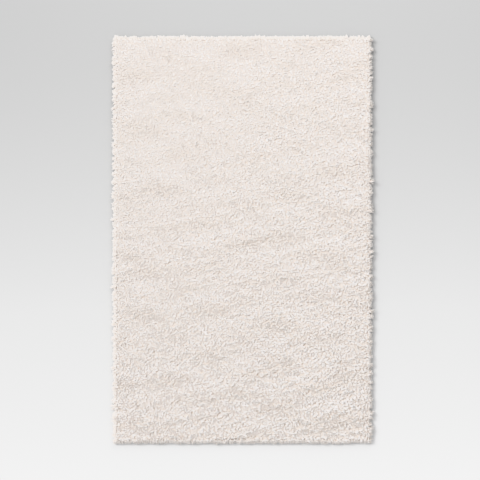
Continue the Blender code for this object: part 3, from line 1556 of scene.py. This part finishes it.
    def close_bed(self, bm: bmesh.types.BMesh, rim: RoundedOutline) -> None:
        """Closes the bed: in under its rim, over the tape, and down to the cloth.

        Args:
            bm: The bed's top.
            rim: Its rim.
        """
        edges = [edge for edge in bm.edges if edge.is_boundary]
        under_rim = (self.bed.foot_inset - self.bed.inset, self.rug.tape_top + self.bed.clear[0])
        foot = (0.0, self.rug.cloth_top + self.bed.clear[1])
        for step, height in (under_rim, foot):
            made = bmesh.ops.extrude_edge_only(bm, edges=edges)["geom"]
            edges = [part for part in made if isinstance(part, bmesh.types.BMEdge)]
            for vert in made:
                if isinstance(vert, bmesh.types.BMVert):
                    inward = rim.outward(np.array([vert.co.xy]))[0] * -step
                    vert.co = (vert.co.x + inward[0], vert.co.y + inward[1], height)
        bmesh.ops.contextual_create(bm, geom=edges)

    def end_roots(self, rng: np.random.Generator) -> np.ndarray:
        """The places where loose ends leave the bed: staggered rows, each a little uneven.

        Args:
            rng: Where their unevenness comes from.

        Returns:
            Places in the plane, one to a row.
        """
        rim = self.rug.bound.inset(self.bed.inset)
        half = np.array(rim.half)
        count = np.floor(2 * half / self.gauge).astype(int)
        grid = np.stack(np.meshgrid(*(np.arange(n) + 0.5 for n in count), indexing="ij"), axis=-1)
        grid[:, :, 1] += 0.5 * (np.arange(count[0]) % 2)[:, None] - 0.25
        roots = (grid.reshape(-1, 2) / count * 2 - 1) * half
        roots += rng.normal(0, self.root_stray * self.gauge, roots.shape)
        return roots[rim.depth(roots) > self.rim_margin]

    def gathering(self, roots: np.ndarray) -> tuple[np.ndarray, np.ndarray, np.ndarray]:
        """What the loose ends of one lock share.

        Args:
            roots: Where the ends leave the bed.

        Returns:
            For each end, its lock's middle, the lock's four traits, with a spread of 1, which are
            its lean in X and Y, its rise and its tint, and whether it has fallen, as 1 or 0.
        """
        middle, lock = self.locks.of(roots, np.array(self.rug.pile.half))
        rng = np.random.default_rng(self.seed + 1)
        traits = rng.normal(0, 1, (lock.max() + 1, 4))[lock]
        least, ruffled = self.fallen
        odds = least + ruffled * self.force(roots) * self.patch(roots)
        fallen = (rng.random(lock.max() + 1)[lock] < odds).astype(float)
        return middle, traits, fallen

    def loose_ends(self, rng: np.random.Generator) -> Tufts:
        """Every end that stands on the bed.

        Args:
            rng: Where their unevenness comes from.

        Returns:
            The ends.
        """
        roots = self.end_roots(rng)
        many, force = len(roots), self.force(roots)
        hollow, apart = self.parting(roots)
        wave, wave_slope = self.waves.at(roots)
        middle, traits, fallen = self.gathering(roots)
        rim = self.rug.bound.inset(self.bed.inset)
        near_rim = np.clip(1 - rim.depth(roots) / self.lean.rim_reach, 0, 1)

        lay = np.stack([ripples.at(roots)[0] for ripples in self.lean.lays], axis=1)
        lean = force[:, None] * (lay * self.lean.sweep + self.lean.wave * wave_slope)
        lean += self.lean.cleft * apart
        own_lean = traits[:, :2] * self.lean.lock * np.sqrt(force)[:, None]
        lean += rng.normal(0, 1, (many, 2)) * self.lean.stray + own_lean
        smooth, ruffled, most = self.lean.gather
        gather = np.minimum(smooth + ruffled * force, most) - self.lean.splay * fallen
        lean += gather[:, None] * (middle - roots)
        lean += rim.outward(roots) * (self.lean.rim * near_rim)[:, None]

        rise = self.rise.usual + rng.normal(0, self.rise.stray, many) + self.rise.lock * force * traits[:, 2]
        rise -= self.rise.smooth * (1 - force)
        rise -= self.rise.fallen * fallen
        far = np.linalg.norm(lean, axis=1)
        end, length = arc(np.minimum(far, self.lean.steepest * rise), rise, self.lean.start)

        # Painted light on wave crests, broad swells and near the bed's rim, and painted shade in troughs,
        # open clefts and fallen locks; the lock and end spreads are random tone.
        tint = self.tint.wave * force * wave + self.tint.swell * self.swells.at(roots)[0]
        tint += self.tint.lock * force * traits[:, 3] - self.tint.hollow * np.maximum(hollow, fallen)
        tint += self.tint.usual + self.tint.rim * near_rim + rng.normal(0, self.tint.stray, many)
        return Tufts(
            roots=np.column_stack([roots, self.bed_top(roots) - self.root_depth]),
            way=lean / np.maximum(far, 1e-9)[:, None],
            length=length,
            start=np.full(many, self.lean.start),
            end=end,
            tint=tint,
            width=rng.uniform(0.85, 1.2, many),
        )

    def fringe_tufts(self, rng: np.random.Generator) -> Tufts:
        """Every tuft that leans out over the binding.

        Args:
            rng: Where their unevenness comes from.

        Returns:
            The tufts.
        """
        fringe = self.fringe
        places, way = self.rug.pile.walk(fringe.gap)
        many = len(places)
        golden_share = (math.sqrt(5) - 1) / 2
        level = (np.arange(many) * golden_share + rng.normal(0, fringe.level_stray, many)) % 1
        root_inset, root_height, inside, height, start = fringe.at(level)
        wobble = fringe.wobble[0] * self.waves.at(places)[0]
        wobble += fringe.wobble[1] * self.clefts.ripples.at(places)[0]
        sideways = abs(way[:, 0])
        inside += fringe.side_draw * sideways - fringe.out
        inside -= wobble * (fringe.wobble_share[0] + fringe.wobble_share[1] * sideways)
        inside += rng.normal(0, fringe.end_stray[0], many)
        overhang = self.rug.pile.half[0] - self.rug.bound.half[0]
        starts = places - way * (root_inset + overhang)[:, None]
        reach = np.maximum(root_inset + overhang - inside, fringe.least_reach)
        rise = height - root_height + rng.normal(0, fringe.end_stray[1], many)
        end, length = arc(reach, rise, start)
        turn = rng.normal(0, fringe.turn, many)[:, None]
        along = np.stack([-way[:, 1], way[:, 0]], axis=1)
        # Painted shade: the fringe's upper tufts are given a low tint, which lifts lower down.
        *tints, tint_stray = fringe.tint
        return Tufts(
            roots=np.column_stack([starts, root_height]),
            way=way * np.cos(turn) + along * np.sin(turn),
            length=length,
            start=start,
            end=end,
            tint=np.interp(level, (0.0, 0.55, 0.85), tints) + rng.normal(0, tint_stray, many),
            width=rng.uniform(0.8, 1.15, many),
        )

    def facing(self, points: np.ndarray) -> np.ndarray:
        """The direction of the pile's surface: up, turning outwards down the edge.

        Args:
            points: Places in space, one to a row.

        Returns:
            One vector a point.
        """
        plane, top = points[:, :2], self.rug.cloth_top + self.bed.rise + self.rise.usual
        down = np.clip((top - points[:, 2]) / top, 0, 1)
        near = np.clip(2 - self.rug.pile.depth(plane) / self.surface_fall, 0, 1)
        turn = math.radians(self.surface_turn) * down * near
        outward = self.rug.pile.outward(plane) * np.sin(turn)[:, None]
        tilt = self.force(plane)[:, None] * self.waves.at(plane)[1] * self.surface_tilt
        return np.concatenate([outward - tilt, np.cos(turn)[:, None]], axis=1)

    def make(self, name: str, shape: TuftShape, tufts: Tufts, material: bpy.types.Material) -> None:
        """Makes a set of tufts, as pieces that run from the foot to the head.

        A tuft's surface map is a narrow column at its tint, and rises from its root to its end.

        Args:
            name: What the pieces' names start with.
            shape: How each tuft is meshed.
            tufts: The tufts.
            material: The yarn's finish.
        """
        template = shape.template()
        rng = np.random.default_rng([self.seed, len(name)])
        station = np.round(template.points[:, 2]).astype(int)
        angle = np.arctan2(template.points[:, 1], template.points[:, 0])
        on_axis = np.hypot(template.points[:, 0], template.points[:, 1]) < 0.1
        around = np.where(on_axis, 0.5, (angle / (2 * math.pi)) % 1)
        along = np.array(shape.stations)[station]
        column, root_slant, least_height = 1 / 32, 0.02, 1.0 * MM
        for number, part in enumerate(tufts.parts(self.most_in_piece // len(template.faces)), 1):
            points = shape.points(template, part, rng)
            points[..., 2] = np.maximum(points[..., 2], least_height)
            made = template.repeat(f"{name}_{number:02d}", points)
            soften(made, self.facing(points.reshape(-1, 3)), shape.softness)
            across = np.clip(part.tint, 0, 1)[:, None] * (1 - column) + around * column
            up = np.broadcast_to(np.where(station == 0, root_slant * around, along), across.shape)
            give_numbers(made, "tint", across)
            give_numbers(made, "along", up)
            give_map(made, across, up)
            join_rug(made, "pile_yarn", material, "pile")

    def build(self, material: bpy.types.Material) -> None:
        """Makes the pile.

        Args:
            material: The yarn's finish.
        """
        rng = np.random.default_rng(self.seed)
        self.make_bed(rng, material)
        self.make("pile_ends", self.end_shape, self.loose_ends(rng), material)
        self.make("pile_fringe", self.hanging_shape, self.fringe_tufts(rng), material)


# ---------------------------------------------------------------------------
# The binding
# ---------------------------------------------------------------------------


@dataclass
class Binding:
    """The folded tape on each side, and its two rows of stitches.

    Attributes:
        rug: Where the layers lie.
        back_width: How far the tape reaches in on the back.
        face_width: How far it reaches in on the face.
        thickness: The tape's thickness.
        fold_radius: The radius of its two folds, on the outside.
        seam_inset: How far inside the edge the seam runs.
        dimple: Half the width and the depth of the furrow that the seam draws in the tape.
        stitch: The length, gap and thickness of a stitch.
        stitch_clear: How far a stitch lies inside the tape's outer face.
        slant: How far a stitch slants for its length, and the spread in that.
        end_gap: How far short of the corner's arc a row of stitches ends.
        mitre_gap: The gap between two tapes at a corner.
        step: How far apart the rings of the tape's mesh lie on a straight.
    """

    rug: RugFrame
    back_width: float = 24 * MM
    face_width: float = 10 * MM
    thickness: float = 1.0 * MM
    fold_radius: float = 1.8 * MM
    seam_inset: float = 6 * MM
    dimple: tuple[float, float] = (0.9 * MM, 0.5 * MM)
    stitch: tuple[float, float, float] = (3.4 * MM, 0.7 * MM, 0.42 * MM)
    stitch_clear: float = 0.05 * MM
    slant: tuple[float, float] = (0.06, 0.03)
    end_gap: float = 0.5 * MM
    mitre_gap: float = 0.3 * MM
    step: float = 16 * MM

    def profile(self) -> list[tuple[float, float]]:
        """The tape's section, anticlockwise from the free edge on the back.

        Returns:
            Its points, each as an inset from the bound edge and a height above the floor.
        """
        top, thick, fold = self.rug.tape_top, self.thickness, self.fold_radius
        half, deep = self.dimple
        shares = (1, 0.5, 0, -0.5, -1)
        furrow = [(self.seam_inset + half * share, deep * (1 - share * share)) for share in shares]
        back = [(self.back_width, thick), (self.back_width, 0.0), *furrow]
        face = [(inset, top - height) for inset, height in reversed([(self.face_width, 0.0), *furrow])]
        face.append((self.face_width, top - thick))
        quarter = [math.pi / 2 * step / 4 for step in range(5)]
        outer = [(fold - fold * math.sin(turn), fold - fold * math.cos(turn)) for turn in quarter]
        outer += [(inset, top - height) for inset, height in reversed(outer)]
        inner_radius = fold - thick
        inner = [
            (fold - inner_radius * math.sin(turn), fold - inner_radius * math.cos(turn)) for turn in quarter
        ]
        inner += [(inset, top - height) for inset, height in reversed(inner)]
        return back + outer + face + inner[::-1]

    def stations(self, side: Side) -> list[tuple[float, float]]:
        """Where the rings of one side's strip lie.

        Args:
            side: The side.

        Returns:
            For each ring, a share of the straight from -1 to 1, and a turn round the corner.
        """
        half_turn, steps = math.pi / 4, 5
        run = self.rug.bound.half[0] if side.outward[1] else self.rug.bound.half[1]
        count = round(2 * run / self.step)
        turns = [half_turn * step / steps for step in range(1, steps + 1)]
        straight = [(2 * number / count - 1, 0.0) for number in range(count + 1)]
        return [(-1.0, -turn) for turn in reversed(turns)] + straight + [(1.0, turn) for turn in turns]

    def point(self, side: Side, station: tuple[float, float], inset: float, height: float) -> Vector:
        """A point of one side's strip.

        Args:
            side: The side.
            station: A share of the straight, and a turn round the corner.
            inset: How far inside the bound edge.
            height: How high above the floor.

        Returns:
            The point.
        """
        share, turn = station
        edge = self.rug.bound.inset(inset)
        inner = np.array(edge.half) - edge.radius
        reach = abs(float(side.along @ inner))
        centre = side.outward * abs(float(side.outward @ inner)) + side.along * share * reach
        way = side.outward * math.cos(turn) + side.along * math.sin(turn)
        place = centre + way * edge.radius
        return Vector((*place, height))

    def tape(self, side: Side, material: bpy.types.Material) -> bpy.types.Object:
        """Sweeps one side's strip of tape from mitre to mitre.

        Args:
            side: The side.
            material: The tape's finish.

        Returns:
            The strip.
        """
        profile, stations = self.profile(), self.stations(side)
        bm = bmesh.new()
        across = bm.verts.layers.float.new("across")
        along = bm.verts.layers.float.new("along")
        ring = [bm.verts.new(self.point(side, stations[0], *spot)) for spot in profile]
        edges = [bm.edges.new(pair) for pair in zip(ring, ring[1:] + ring[:1])]
        bmesh.ops.contextual_create(bm, geom=edges)
        rings = [ring]
        for station in stations[1:]:
            made = bmesh.ops.extrude_edge_only(bm, edges=edges)["geom"]
            fresh = {part for part in made if isinstance(part, bmesh.types.BMVert)}
            ring = [({edge.other_vert(vert) for edge in vert.link_edges} & fresh).pop() for vert in ring]
            for vert, spot in zip(ring, profile):
                vert.co = self.point(side, station, *spot)
            edges = [bm.edges.get(pair) for pair in zip(ring, ring[1:] + ring[:1])]
            rings.append(ring)
        bmesh.ops.contextual_create(bm, geom=edges)
        self.trim(bm, side)
        far = [0.0]
        for start, end in zip(profile, profile[1:]):
            far.append(far[-1] + math.dist(start, end))
        for ring in rings:
            for vert, distance in zip(ring, far):
                vert[across] = distance
        for vert in bm.verts:
            vert[along] = vert.co.x * side.along[0] + vert.co.y * side.along[1]
        made = object_from(bm, f"binding_{side.label}", 60.0)
        join_rug(made, "binding_tape", material, f"binding_tape_{side.label}")
        return made

    def trim(self, bm: bmesh.types.BMesh, side: Side) -> None:
        """Opens the gap at both mitres, by moving the strip's end rings back from the corner.

        Args:
            bm: The strip.
            side: Its side.
        """
        corner = Vector((*self.rug.bound.half, 0))
        for sign in (1, -1):
            along = Vector((*(sign * side.along), 0))
            outward = Vector((*side.outward, 0))
            keep = (outward - along).normalized()
            point = Vector(((outward + along).x * corner.x, (outward + along).y * corner.y, 0))
            start = point + keep * self.mitre_gap / 2
            for vert in bm.verts:
                behind = (vert.co - start).dot(keep)
                if behind < 0:
                    vert.co -= keep * behind

    def stitch_template(self) -> Template:
        """One stitch: a short plump length of thread, with its ends drawn into the cloth.

        Returns:
            The template, one unit long and one thick.
        """
        bm = bmesh.new()
        bmesh.ops.create_uvsphere(bm, u_segments=4, v_segments=6, radius=0.5)
        return Template.from_bmesh(bm)

    def seam(self, side: Side, on_back: bool, material: bpy.types.Material) -> bpy.types.Object:
        """Makes one row of stitches.

        Args:
            side: The side that it runs along.
            on_back: Whether it is the bobbin thread's row, on the back.
            material: The thread's finish.

        Returns:
            The row.
        """
        template = self.stitch_template()
        length, gap, thick = self.stitch
        edge = self.rug.bound.inset(self.seam_inset)
        reach = abs(float(side.along @ np.array(edge.half))) - edge.radius - self.end_gap
        count = int(2 * reach / (length + gap))
        places = (np.arange(count) + 0.5) / count * 2 * reach - reach
        height = thick / 2 + self.stitch_clear
        height = height if on_back else self.rug.tape_top - height
        rng = np.random.default_rng([list(Side).index(side), on_back])
        slant = rng.normal(*self.slant, count)
        body = template.points * (length, thick, thick)
        middle = np.array([*(side.outward * abs(float(side.outward @ np.array(edge.half)))), height])
        run = np.array([*side.along, 0.0])
        out = np.array([*side.outward, 0.0])
        lengthwise = places[:, None] + template.points[None, :, 2] * length
        sideways = template.points[None, :, 0] * thick + slant[:, None] * template.points[None, :, 2] * length
        upward = np.broadcast_to(body[:, 1], lengthwise.shape)
        points = middle + lengthwise[..., None] * run + sideways[..., None] * out
        points = points + upward[..., None] * np.array([0.0, 0.0, 1.0])
        kind, node = ("bobbin_stitches", "bobbin_thread") if on_back else ("needle_stitches", "needle_thread")
        made = template.repeat(f"{kind}_{side.label}", points)
        angle = np.arctan2(template.points[:, 1], template.points[:, 0]) / (2 * math.pi)
        give_numbers(made, "across", np.broadcast_to(angle, points.shape[:2]))
        give_numbers(made, "along", np.broadcast_to(template.points[:, 2], points.shape[:2]))
        join_rug(made, "seam_thread", material, f"{node}_{side.label}")
        return made

    def build(self, tape: bpy.types.Material, thread: bpy.types.Material) -> None:
        """Makes the tape and its seam on every side.

        Args:
            tape: The tape's finish.
            thread: The thread's finish.
        """
        for side in Side:
            strip = self.tape(side, tape)
            run = self.rug.bound.half[0] if side.outward[1] else self.rug.bound.half[1]
            stitches = [self.seam(side, on_back, thread) for on_back in (True, False)]


# ---------------------------------------------------------------------------
# The backings and the label
# ---------------------------------------------------------------------------


@dataclass
class Backings:
    """The cloths under the pile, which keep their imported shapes.

    Attributes:
        finishes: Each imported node's finish.
    """

    finishes: dict[str, bpy.types.Material]

    def build(self) -> None:
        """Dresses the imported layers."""
        for node, material in self.finishes.items():
            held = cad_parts[node]
            held.data.materials.clear()
            held.data.materials.append(material)
            LOG.info("%s: dressed in %s", node, material.name)
        for node, under in (("secondary_backing", []), ("primary_backing", ["latex_precoat"])):
            low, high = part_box(node)
            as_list(under)


@dataclass
class CareLabel:
    """The blank care label on the back.

    Attributes:
        rug: Where the layers lie.
        corner: The radius of its corners.
    """

    rug: RugFrame
    corner: float = 1.2 * MM

    def build(self, material: bpy.types.Material) -> None:
        """Makes the label: a thin cloth with rounded corners.

        Args:
            material: The label's finish.
        """
        low, high = self.rug.label
        size, middle = high - low, (high + low) / 2
        bm = bmesh.new()
        bmesh.ops.create_cube(bm, size=1.0)
        bmesh.ops.scale(bm, verts=bm.verts, vec=size)
        bmesh.ops.translate(bm, verts=bm.verts, vec=middle)
        upright = [edge for edge in bm.edges if abs((edge.verts[0].co - edge.verts[1].co).z) > size.z / 2]
        bmesh.ops.bevel(bm, geom=upright, offset=self.corner, affect="EDGES", segments=4, profile=0.5)
        made = object_from(bm, "blank_label")
        join_rug(made, "label_cloth", material, "care_label")


# ---------------------------------------------------------------------------
# The studio
# ---------------------------------------------------------------------------


@dataclass
class Studio:
    """A pale floor, soft light from the upper left and a camera straight above.

    Attributes:
        span: How much floor the camera takes in, from edge to edge.
        lens: The camera's focal length, in millimetres.
        aim: The point that it looks at.
        floor_tones: The floor's reflectance beyond the rug's head and beyond its foot.
        floor_curve: The power by which it grows from one to the other.
        key_power: The key light's strength.
        key_angle: How wide the key light is, in degrees.
        key_way: The direction that it shines in.
        fill_power: The strength of the fill at the head, in watts.
        fill_place: Where the fill hangs.
        fill_size: How wide it is.
        sky: The strength of the even sky.
    """

    span: float = 2.857
    lens: float = 100.0
    aim: Vector = field(default_factory=lambda: Vector((-0.0147, 0.0, 0.03)))
    floor_tones: tuple[float, float] = (0.41, 0.745)
    floor_curve: float = 1.6
    key_power: float = 2.6
    key_angle: float = 26.0
    key_way: Vector = field(default_factory=lambda: Vector((0.69, -0.36, -0.62)))
    fill_power: float = 72.0
    fill_place: Vector = field(default_factory=lambda: Vector((0.3, 3.6, 3.0)))
    fill_size: float = 2.5
    sky: float = 0.87

    def camera(self) -> None:
        """Places the camera."""
        data = bpy.data.cameras.new("above")
        data.lens = self.lens
        distance = self.span * self.lens / data.sensor_width
        data.clip_end = 100.0
        made = bpy.data.objects.new("above", data)
        made.location = self.aim + Vector((0, 0, distance))
        bpy.context.scene.collection.objects.link(made)
        bpy.context.scene.camera = made

    def floor(self) -> None:
        """Lays the floor, which grows lighter towards the rug's foot."""
        bm = bmesh.new()
        bmesh.ops.create_circle(bm, cap_ends=True, segments=96, radius=60.0)
        made = object_from(bm, "floor")
        material = bpy.data.materials.new("pale_floor")
        material.use_nodes = True
        bench, shader = NodeBench(material.node_tree), material.node_tree.nodes["Principled BSDF"]
        shader.inputs["Roughness"].default_value = 0.9
        shader.inputs["Specular IOR Level"].default_value = 0.0
        split = bench.add("SeparateXYZ")
        bench.feed(split.inputs[0], bench.place())
        head, foot = (tuple([tone] * 3) for tone in self.floor_tones)
        share = bench.add("MapRange")
        reach = self.span / 2
        for target, given in zip(share.inputs, (split.outputs[1], reach, -reach, 0.0, 1.0)):
            bench.feed(target, given)
        fall = bench.math("POWER", share.outputs[0], self.floor_curve)
        bench.feed(shader.inputs["Base Color"], bench.blend(fall, head, foot))
        made.data.materials.append(material)
        made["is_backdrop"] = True

    def hang(self, lamp: bpy.types.Light, way: Vector, place: Vector) -> None:
        """Hangs a lamp.

        Args:
            lamp: The lamp.
            way: The direction that it shines in.
            place: Where it hangs.
        """
        made = bpy.data.objects.new(lamp.name, lamp)
        made.location = place
        made.rotation_euler = way.to_track_quat("-Z", "Y").to_euler()
        bpy.context.scene.collection.objects.link(made)

    def lights(self) -> None:
        """Hangs a broad key light to the upper left, a fill at the head and an even sky."""
        key = bpy.data.lights.new("key", "SUN")
        key.energy, key.angle = self.key_power, math.radians(self.key_angle)
        self.hang(key, self.key_way, Vector())
        fill = bpy.data.lights.new("head_fill", "AREA")
        fill.energy, fill.shape, fill.size = self.fill_power, "SQUARE", self.fill_size
        self.hang(fill, -self.fill_place, self.fill_place)
        world = bpy.data.worlds.new("sky")
        world.use_nodes = True
        background = world.node_tree.nodes["Background"]
        background.inputs["Color"].default_value = (1.0, 1.0, 1.0, 1.0)
        background.inputs["Strength"].default_value = self.sky
        bpy.context.scene.world = world

    def build(self) -> None:
        """Sets the studio up."""
        bpy.context.scene.view_settings.view_transform = "Khronos PBR Neutral"
        self.camera()
        self.floor()
        self.lights()
        LOG.info("studio: camera, floor and lights")


# ---------------------------------------------------------------------------
# The rug
# ---------------------------------------------------------------------------


def main() -> None:
    """Builds the studio and the rug, in order from the floor up."""
    logging.basicConfig(level=logging.INFO, format="%(name)s: %(message)s", stream=sys.stdout)
    effects, rug = Effects(), RugFrame.from_nodes()
    Studio().build()
    secondary = WovenFinish(
        "secondary_cloth", 0.9, 0.1, (0.55, 0.48, 0.38), (0.34, 0.28, 0.21), (5 * MM, 3 * MM), 0.6 * MM
    )
    primary = WovenFinish(
        "primary_cloth", 0.85, 0.1, (0.55, 0.49, 0.42), (0.35, 0.29, 0.22), (1.6 * MM, 1.6 * MM), 0.3 * MM
    )
    label = WovenFinish(
        "label_cloth", 0.5, 0.3, (0.86, 0.86, 0.84), (0.72, 0.72, 0.70), (0.5 * MM, 0.8 * MM), 0.1 * MM
    )
    finishes = {
        "secondary_backing": secondary.material(effects),
        "latex_precoat": LatexFinish("latex", 0.6, 0.0).material(effects),
        "primary_backing": primary.material(effects),
    }
    Backings(finishes).build()
    CareLabel(rug).build(label.material(effects))
    tape = TapeFinish("binding_tape", 0.85, 0.2).material(effects)
    Binding(rug).build(tape, ThreadFinish("seam_thread", 0.55, 0.3).material(effects))
    Pile(rug).build(YarnFinish("pile_yarn", 0.95, 0.1).material(effects))


def write_sizes() -> None:
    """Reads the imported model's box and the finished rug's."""
    boxes = {"cad": CAD_BOX, "visual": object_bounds()}
    {name: [list(corner) for corner in box] for name, box in boxes.items()}


if __name__ == "__main__":
    main()
    write_sizes()
